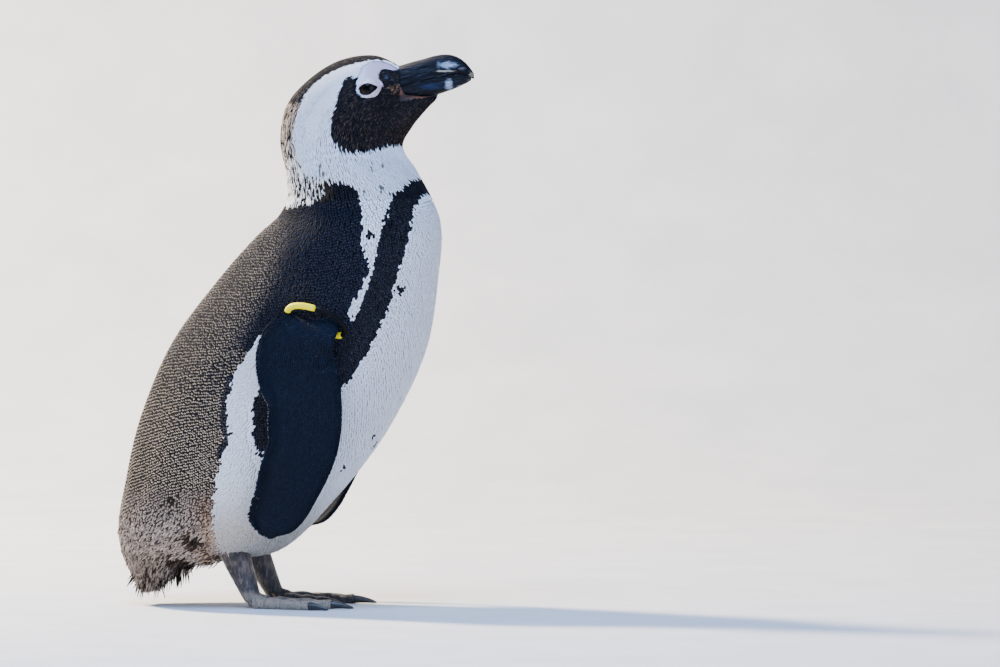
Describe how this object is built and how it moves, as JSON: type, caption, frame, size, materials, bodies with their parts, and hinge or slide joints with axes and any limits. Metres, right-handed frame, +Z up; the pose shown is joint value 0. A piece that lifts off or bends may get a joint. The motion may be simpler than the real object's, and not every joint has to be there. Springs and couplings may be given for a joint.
{
  "type": "african penguin",
  "caption": "Life-size standing African penguin, still museum figure, with an identification ring round its right flipper.",
  "frame": {"origin": "on the floor, under the middle of the bird's bounding box", "axes": "+X the way the bird faces, +Y the bird's left, +Z up"},
  "size_m": [0.2867, 0.2028, 0.4423],
  "materials": {
    "feathers_white": "short dense white feathers",
    "feathers_back": "dark brown-black feathers with paler tips",
    "feathers_black": "blue-black feathers",
    "bill_horn": "hard blue-black horn, satin",
    "eye_dark": "dark brown glass eye, glossy and opaque",
    "foot_skin": "grey-black scaly skin",
    "claw_horn": "black horn, satin",
    "ring_black": "black tube",
    "ring_yellow": "yellow sleeve"
  },
  "bodies": {
    "root": {"tail": "feathers_back", "trunk": "feathers_white", "neck": "feathers_white", "head": "feathers_black", "bill_upper": "bill_horn", "bill_lower": "bill_horn", "eye_left": "eye_dark", "eye_right": "eye_dark", "flipper_left": "feathers_black", "flipper_right": "feathers_black", "leg_left": "foot_skin", "leg_right": "foot_skin", "foot_left": "foot_skin", "foot_right": "foot_skin", "ring_sleeve_back": "ring_yellow", "ring_sleeve_front": "ring_yellow", "ring_tube_back": "ring_black", "ring_tube_front": "ring_black", "claw_inner_left": "claw_horn", "claw_middle_left": "claw_horn", "claw_outer_left": "claw_horn", "claw_hind_left": "claw_horn", "claw_inner_right": "claw_horn", "claw_middle_right": "claw_horn", "claw_outer_right": "claw_horn", "claw_hind_right": "claw_horn"}
  },
  "joints": []
}
